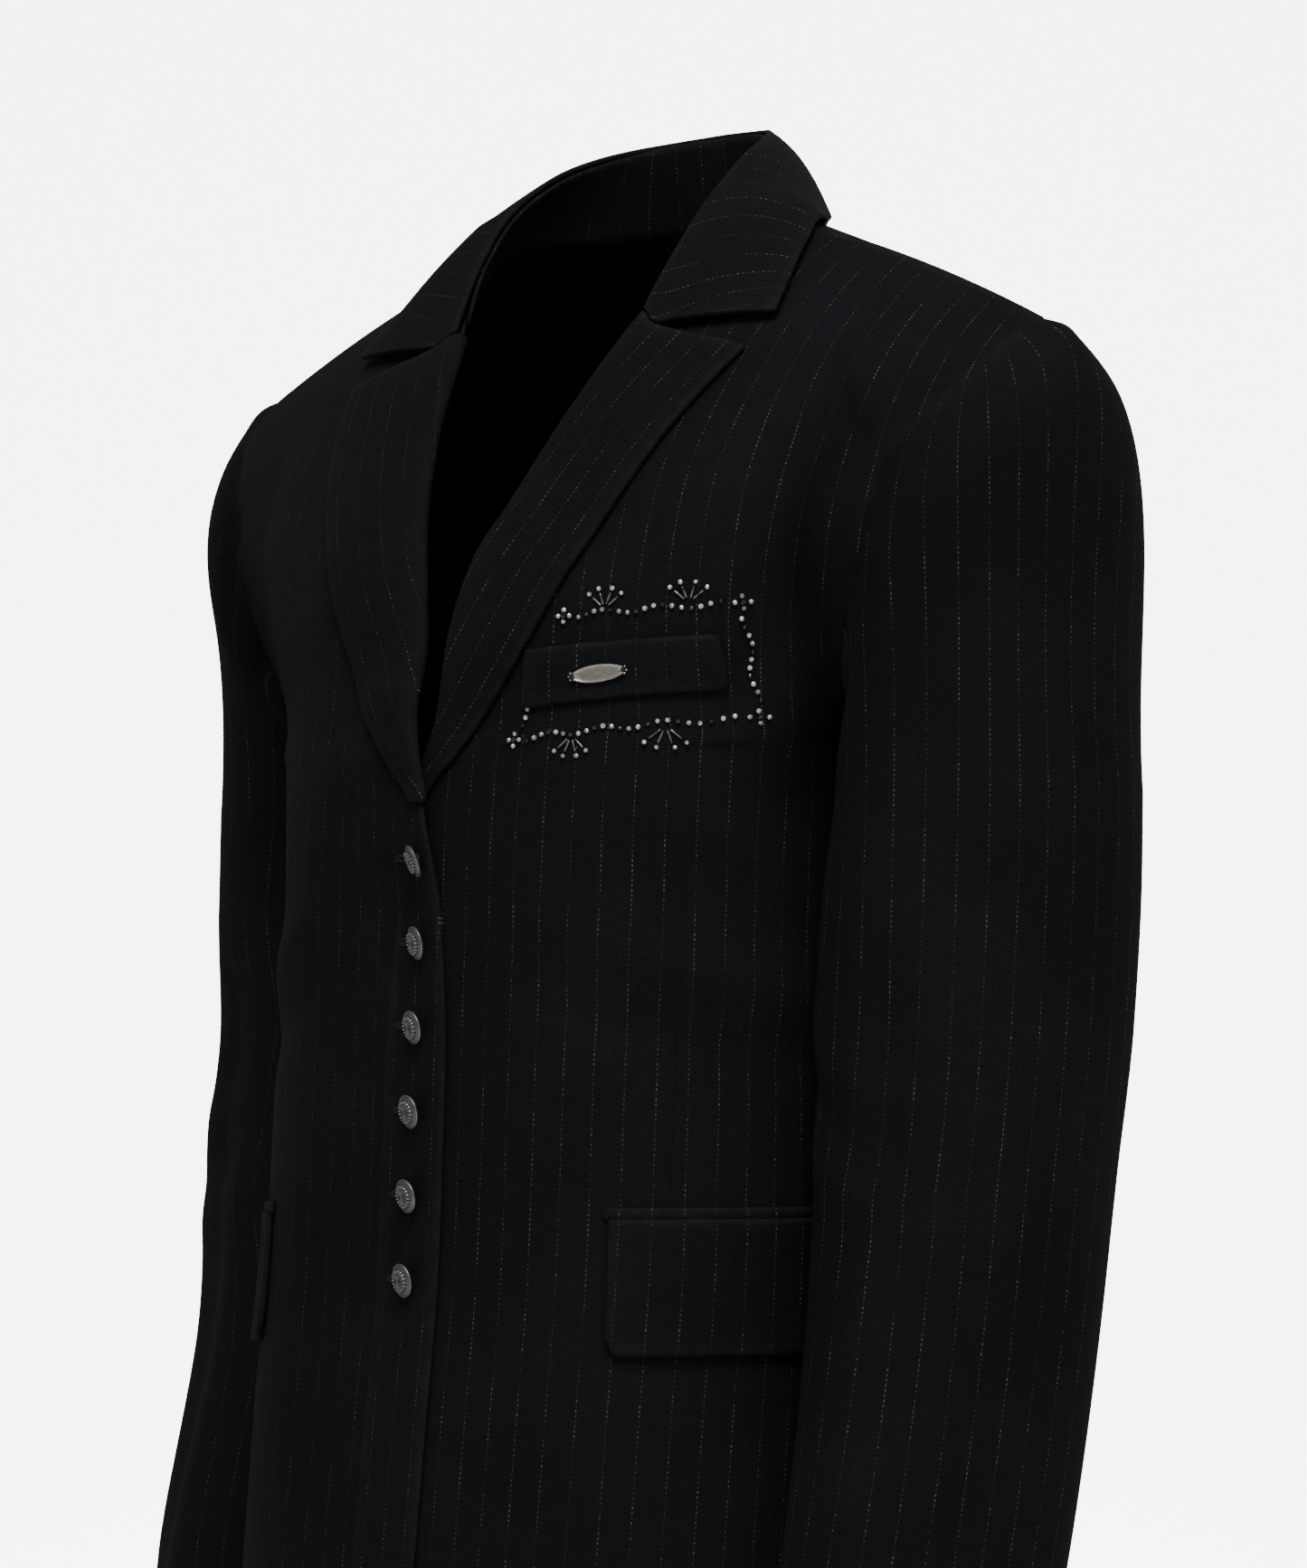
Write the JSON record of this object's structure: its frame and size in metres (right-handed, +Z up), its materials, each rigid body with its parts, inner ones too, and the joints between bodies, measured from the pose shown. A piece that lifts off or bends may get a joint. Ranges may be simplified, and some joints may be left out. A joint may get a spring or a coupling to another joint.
{
  "type": "tailored wool jacket",
  "caption": "Single-breasted tailored wool jacket in worn shape, with notched lapels, chest welt, hip flap pockets, domed metal buttons and two-piece sleeves.",
  "frame": {"origin": "midway between the two neck points of the shoulders, at their level, where the wearer's shoulders carry the jacket", "axes": "+Z up the wearer's body, +X to the wearer's left, -Y to the wearer's front"},
  "size_m": [0.4852, 0.3011, 0.7097],
  "materials": {
    "wool_front": "black wool suiting with pale dotted pinstripes",
    "wool_back": "black wool suiting with pale dotted pinstripes",
    "wool_lapel": "black wool suiting, stripes along the lapel edge",
    "wool_collar": "black wool suiting, stripes across the collar",
    "wool_collar_stand": "black wool suiting",
    "wool_sleeve": "black wool suiting, stripes down the arm",
    "wool_sleeve_under": "black wool suiting, stripes down the arm",
    "wool_welt": "black wool suiting",
    "wool_flap": "black wool suiting",
    "wool_jet": "black wool suiting, pressed",
    "button_metal": "aged silver, domed",
    "plate_metal": "polished silver, plain"
  },
  "bodies": {
    "root": {"front_left": "wool_front", "front_right": "wool_front", "back_left": "wool_back", "back_right": "wool_back", "lapel_left": "wool_lapel", "lapel_right": "wool_lapel", "collar_fall": "wool_collar", "collar_stand": "wool_collar_stand", "sleeve_top_left": "wool_sleeve", "sleeve_top_right": "wool_sleeve", "sleeve_under_left": "wool_sleeve_under", "sleeve_under_right": "wool_sleeve_under", "chest_welt": "wool_welt", "hip_flap_left": "wool_flap", "hip_flap_right": "wool_flap", "hip_jet_left": "wool_jet", "hip_jet_right": "wool_jet", "button_1": "button_metal", "button_2": "button_metal", "button_3": "button_metal", "button_4": "button_metal", "button_5": "button_metal", "button_6": "button_metal", "oval_plate": "plate_metal"}
  },
  "joints": []
}
